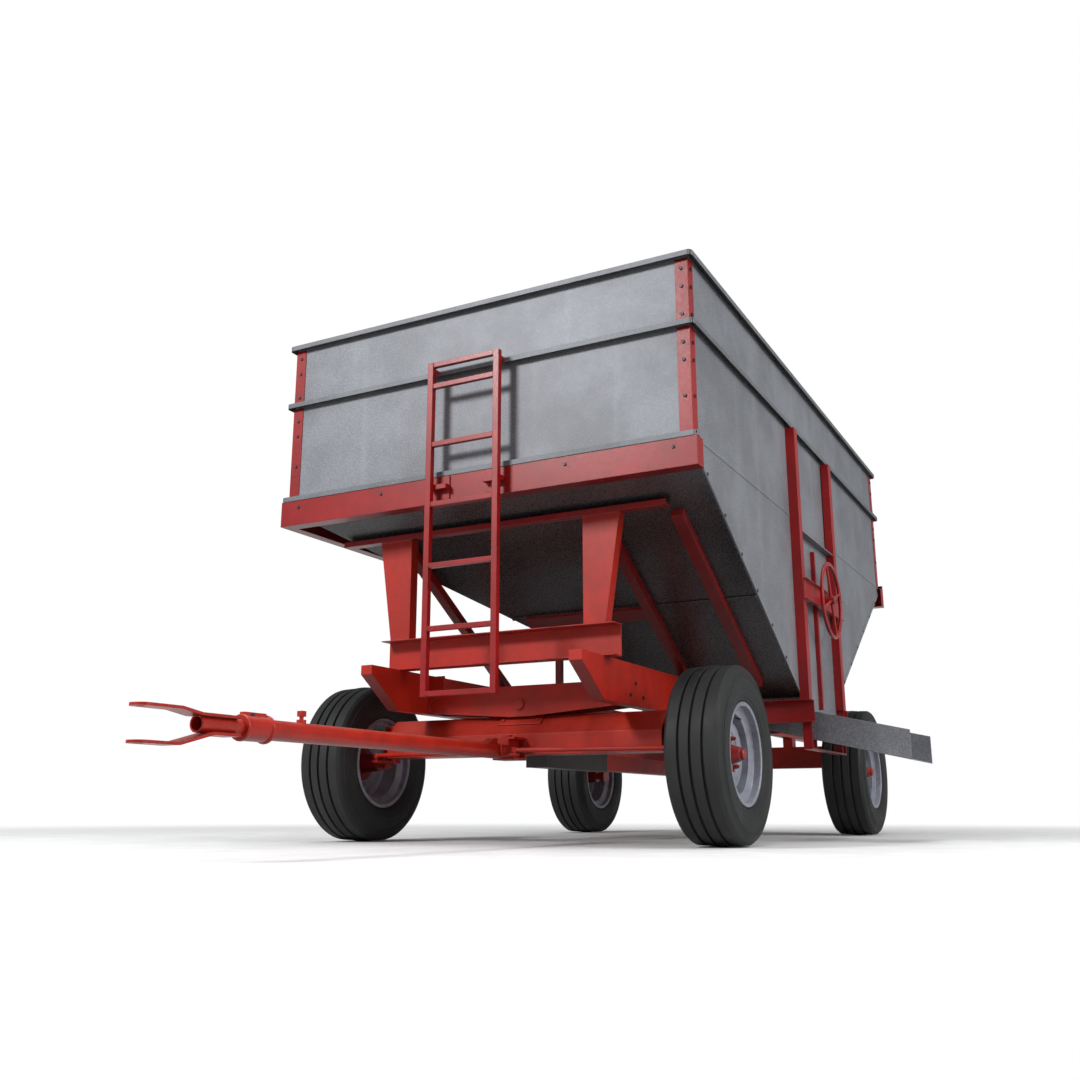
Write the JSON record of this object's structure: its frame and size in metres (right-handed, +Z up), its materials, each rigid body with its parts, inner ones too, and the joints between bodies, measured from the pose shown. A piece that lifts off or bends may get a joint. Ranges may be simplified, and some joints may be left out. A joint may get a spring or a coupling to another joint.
{
  "type": "grain cart",
  "caption": "Four-wheel gravity-discharge grain wagon with sheet box, sloped hopper, side gate with rack and hand wheel, chute, ladder and steerable telescoping tongue.",
  "frame": {"origin": "middle of the footprint of the whole wagon, on the ground", "axes": "+Z up, +Y from the tongue towards the rear of the wagon, +X towards the discharge chute"},
  "size_m": [2.869, 5.917, 2.663],
  "materials": {
    "galvanised_sheet": "galvanised steel sheet, dull",
    "red_paint": "red enamel on steel",
    "tyre": "ribbed rubber",
    "rim_paint": "silver enamel",
    "plated_bolts": "plated bolt heads",
    "dark_paint": "dark grey enamel",
    "bright_steel": "plain steel pins"
  },
  "bodies": {
    "root": {"front_sheet": "galvanised_sheet", "rear_sheet": "galvanised_sheet", "left_sheet": "galvanised_sheet", "right_sheet": "galvanised_sheet", "extension_sheets": "galvanised_sheet", "right_lower_panels": "galvanised_sheet", "front_slope": "galvanised_sheet", "rear_slope": "galvanised_sheet", "left_slope": "galvanised_sheet", "throat": "galvanised_sheet", "ledges": "galvanised_sheet", "top_rim": "galvanised_sheet", "box_beams": "red_paint", "corner_posts": "red_paint", "frame_posts": "red_paint", "cap_beams": "red_paint", "cross_channels": "red_paint", "left_rail": "red_paint", "right_rail": "red_paint", "slope_braces": "red_paint", "gate_rails": "red_paint", "wheel_bracket": "red_paint", "sill_channels": "red_paint", "chute": "galvanised_sheet", "chute_hanger": "red_paint", "ladder_rails": "red_paint", "ladder_rungs": "red_paint", "ladder_standoffs": "red_paint", "front_bolster": "red_paint", "pivot_pin": "bright_steel", "rear_axle": "red_paint", "reach_sleeve": "dark_paint", "reach_pole": "red_paint", "frame_bolts": "plated_bolts"},
    "gate": {"gate_sheet": "galvanised_sheet", "gate_rack": "red_paint"},
    "hand_wheel": {"hand_wheel": "red_paint", "pinion_shaft": "bright_steel"},
    "front_axle": {"front_axle": "red_paint", "yaw_pin": "bright_steel"},
    "left_spindle": {"left_spindle": "red_paint"},
    "right_spindle": {"right_spindle": "red_paint"},
    "tie_rods": {"tie_rods": "red_paint"},
    "steer_block": {"steer_block": "red_paint"},
    "tongue": {"tongue_tube": "red_paint"},
    "tongue_slider": {"tongue_slider": "red_paint"},
    "latch_pin": {"latch_pin": "bright_steel"},
    "front_left_wheel": {"front_left_tyre": "tyre", "front_left_rim": "rim_paint", "front_left_hub": "red_paint"},
    "front_right_wheel": {"front_right_tyre": "tyre", "front_right_rim": "rim_paint", "front_right_hub": "red_paint"},
    "rear_left_wheel": {"rear_left_tyre": "tyre", "rear_left_rim": "rim_paint", "rear_left_hub": "red_paint"},
    "rear_right_wheel": {"rear_right_tyre": "tyre", "rear_right_rim": "rim_paint", "rear_right_hub": "red_paint"}
  },
  "joints": [
    {"name": "axle_oscillation", "type": "hinge", "parent": "root", "child": "front_axle", "pos_m": [-0.2545, -0.4225, 0.682], "axis": [0, 1, 0], "range_deg": [-2, 2]},
    {"name": "tongue_yaw", "type": "hinge", "parent": "front_axle", "child": "steer_block", "pos_m": [-0.2545, -0.6295, 0.44], "axis": [0, 0, 1], "range_deg": [-40, 40]},
    {"name": "left_kingpin", "type": "hinge", "parent": "front_axle", "child": "left_spindle", "pos_m": [-1.0845, -0.4125, 0.413], "axis": [0, 0, 1], "range_deg": [-22, 22]},
    {"name": "right_kingpin", "type": "hinge", "parent": "front_axle", "child": "right_spindle", "pos_m": [0.5755, -0.4125, 0.413], "axis": [0, 0, 1], "range_deg": [-22, 22]},
    {"name": "tie_rod_shift", "type": "slide", "parent": "front_axle", "child": "tie_rods", "axis": [1, 0, 0], "range_m": [-0.0622, 0.0622]},
    {"name": "tongue_lift", "type": "hinge", "parent": "steer_block", "child": "tongue", "pos_m": [-0.2545, -0.7445, 0.44], "axis": [1, 0, 0], "range_deg": [-26, 9]},
    {"name": "tongue_extension", "type": "slide", "parent": "tongue", "child": "tongue_slider", "axis": [0, -1, 0], "range_m": [0, 0.3]},
    {"name": "latch_pull", "type": "slide", "parent": "tongue", "child": "latch_pin", "axis": [0, 0, 1], "range_m": [0, 0.012]},
    {"name": "gate_slide", "type": "slide", "parent": "root", "child": "gate", "axis": [0, 0, 1], "range_m": [0, 0.58]},
    {"name": "hand_wheel_turn", "type": "hinge", "parent": "root", "child": "hand_wheel", "pos_m": [0.9925, 0.9805, 1.35], "axis": [1, 0, 0], "range_deg": [-1240, 10]},
    {"name": "front_left_spin", "type": "hinge", "parent": "left_spindle", "child": "front_left_wheel", "pos_m": [-1.2715, -0.4125, 0.413], "axis": [1, 0, 0], "continuous": true},
    {"name": "front_right_spin", "type": "hinge", "parent": "right_spindle", "child": "front_right_wheel", "pos_m": [0.7625, -0.4125, 0.413], "axis": [1, 0, 0], "continuous": true},
    {"name": "rear_left_spin", "type": "hinge", "parent": "root", "child": "rear_left_wheel", "pos_m": [-1.2715, 2.3575, 0.413], "axis": [1, 0, 0], "continuous": true},
    {"name": "rear_right_spin", "type": "hinge", "parent": "root", "child": "rear_right_wheel", "pos_m": [0.7625, 2.3575, 0.413], "axis": [1, 0, 0], "continuous": true}
  ],
  "couplings": [
    {"joint": "left_kingpin", "follows": "tongue_yaw", "ratio": 0.55},
    {"joint": "right_kingpin", "follows": "tongue_yaw", "ratio": 0.55},
    {"joint": "tie_rod_shift", "follows": "tongue_yaw", "m_per_rad": 0.089},
    {"joint": "hand_wheel_turn", "follows": "gate_slide", "rad_per_m": -37.037}
  ]
}
